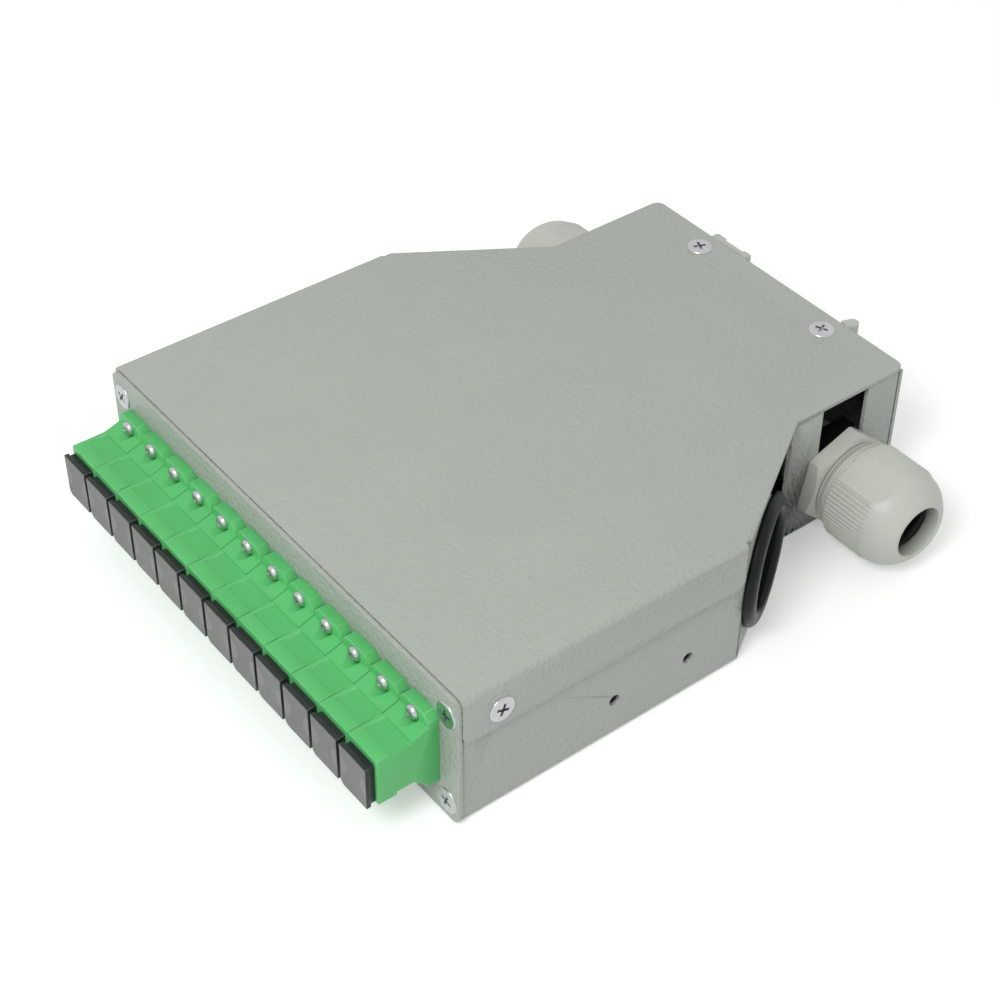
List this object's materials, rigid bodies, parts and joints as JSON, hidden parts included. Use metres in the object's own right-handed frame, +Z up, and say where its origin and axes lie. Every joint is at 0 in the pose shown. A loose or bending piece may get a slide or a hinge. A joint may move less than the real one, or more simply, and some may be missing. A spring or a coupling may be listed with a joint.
{
  "type": "din rail fibre box",
  "caption": "Slim sheet-steel fibre box for a mounting rail, with square capped fibre adapters in front, cable glands and rubber grommets at the sides and a rail clip behind.",
  "frame": {"origin": "centre of the base tray's underside, midway between the cover's front and rear edges", "axes": "+X to the right across the front, +Y from the adapters to the rail clip, +Z up from the underside"},
  "size_m": [0.1468, 0.1796, 0.0382],
  "materials": {
    "powder_coat": "fine leather-grain powder coat",
    "adapter_plastic": "smooth moulded",
    "cap_plastic": "smooth moulded",
    "gland_plastic": "satin moulded",
    "black_rubber": "smooth rubber",
    "bright_steel": "nickel-plated",
    "clip_plastic": "smooth moulded",
    "inner_plastic": "smooth moulded"
  },
  "bodies": {
    "box": {"base_tray": "powder_coat", "cover": "powder_coat", "front_panel": "powder_coat", "panel_screws": "bright_steel", "cover_rear_screws": "bright_steel", "cover_side_screws": "bright_steel", "clinch_nuts": "bright_steel", "adapter_screws": "bright_steel", "adapter_01": "adapter_plastic", "adapter_02": "adapter_plastic", "adapter_03": "adapter_plastic", "adapter_04": "adapter_plastic", "adapter_05": "adapter_plastic", "adapter_06": "adapter_plastic", "adapter_07": "adapter_plastic", "adapter_08": "adapter_plastic", "adapter_09": "adapter_plastic", "adapter_10": "adapter_plastic", "adapter_11": "adapter_plastic", "adapter_12": "adapter_plastic", "gland_body_right": "gland_plastic", "gland_seal_right": "black_rubber", "gland_clamp_right": "gland_plastic", "gland_locknut_right": "gland_plastic", "grommet_right": "black_rubber", "cable_anchor_right": "powder_coat", "gland_body_left": "gland_plastic", "gland_seal_left": "black_rubber", "gland_clamp_left": "gland_plastic", "gland_locknut_left": "gland_plastic", "grommet_left": "black_rubber", "cable_anchor_left": "powder_coat", "din_clip": "clip_plastic", "din_clip_screws": "bright_steel", "splice_tray": "inner_plastic", "splice_holder": "inner_plastic", "tray_standoffs": "bright_steel", "tray_screws": "bright_steel", "anchor_studs": "bright_steel"},
    "cap_01": {"dust_cap_01": "cap_plastic"},
    "cap_02": {"dust_cap_02": "cap_plastic"},
    "cap_03": {"dust_cap_03": "cap_plastic"},
    "cap_04": {"dust_cap_04": "cap_plastic"},
    "cap_05": {"dust_cap_05": "cap_plastic"},
    "cap_06": {"dust_cap_06": "cap_plastic"},
    "cap_07": {"dust_cap_07": "cap_plastic"},
    "cap_08": {"dust_cap_08": "cap_plastic"},
    "cap_09": {"dust_cap_09": "cap_plastic"},
    "cap_10": {"dust_cap_10": "cap_plastic"},
    "cap_11": {"dust_cap_11": "cap_plastic"},
    "cap_12": {"dust_cap_12": "cap_plastic"},
    "gland_nut_right": {"gland_cap_nut_right": "gland_plastic"},
    "gland_nut_left": {"gland_cap_nut_left": "gland_plastic"},
    "rail_latch": {"din_latch": "clip_plastic"}
  },
  "joints": [
    {"name": "cap_pull_01", "type": "slide", "parent": "box", "child": "cap_01", "axis": [0, -1, 0], "range_m": [0, 0.012]},
    {"name": "cap_pull_02", "type": "slide", "parent": "box", "child": "cap_02", "axis": [0, -1, 0], "range_m": [0, 0.012]},
    {"name": "cap_pull_03", "type": "slide", "parent": "box", "child": "cap_03", "axis": [0, -1, 0], "range_m": [0, 0.012]},
    {"name": "cap_pull_04", "type": "slide", "parent": "box", "child": "cap_04", "axis": [0, -1, 0], "range_m": [0, 0.012]},
    {"name": "cap_pull_05", "type": "slide", "parent": "box", "child": "cap_05", "axis": [0, -1, 0], "range_m": [0, 0.012]},
    {"name": "cap_pull_06", "type": "slide", "parent": "box", "child": "cap_06", "axis": [0, -1, 0], "range_m": [0, 0.012]},
    {"name": "cap_pull_07", "type": "slide", "parent": "box", "child": "cap_07", "axis": [0, -1, 0], "range_m": [0, 0.012]},
    {"name": "cap_pull_08", "type": "slide", "parent": "box", "child": "cap_08", "axis": [0, -1, 0], "range_m": [0, 0.012]},
    {"name": "cap_pull_09", "type": "slide", "parent": "box", "child": "cap_09", "axis": [0, -1, 0], "range_m": [0, 0.012]},
    {"name": "cap_pull_10", "type": "slide", "parent": "box", "child": "cap_10", "axis": [0, -1, 0], "range_m": [0, 0.012]},
    {"name": "cap_pull_11", "type": "slide", "parent": "box", "child": "cap_11", "axis": [0, -1, 0], "range_m": [0, 0.012]},
    {"name": "cap_pull_12", "type": "slide", "parent": "box", "child": "cap_12", "axis": [0, -1, 0], "range_m": [0, 0.012]},
    {"name": "gland_nut_turn_right", "type": "hinge", "parent": "box", "child": "gland_nut_right", "pos_m": [0.0453, 0.0567, 0.0141], "axis": [1, 0, 0], "range_deg": [-480, 840]},
    {"name": "gland_nut_turn_left", "type": "hinge", "parent": "box", "child": "gland_nut_left", "pos_m": [-0.0453, 0.0567, 0.0141], "axis": [-1, 0, 0], "range_deg": [-480, 840]},
    {"name": "rail_latch_slide", "type": "slide", "parent": "box", "child": "rail_latch", "axis": [1, 0, 0], "range_m": [0, 0.003], "stiffness_N_per_m": 3000, "springref_m": -0.001}
  ]
}
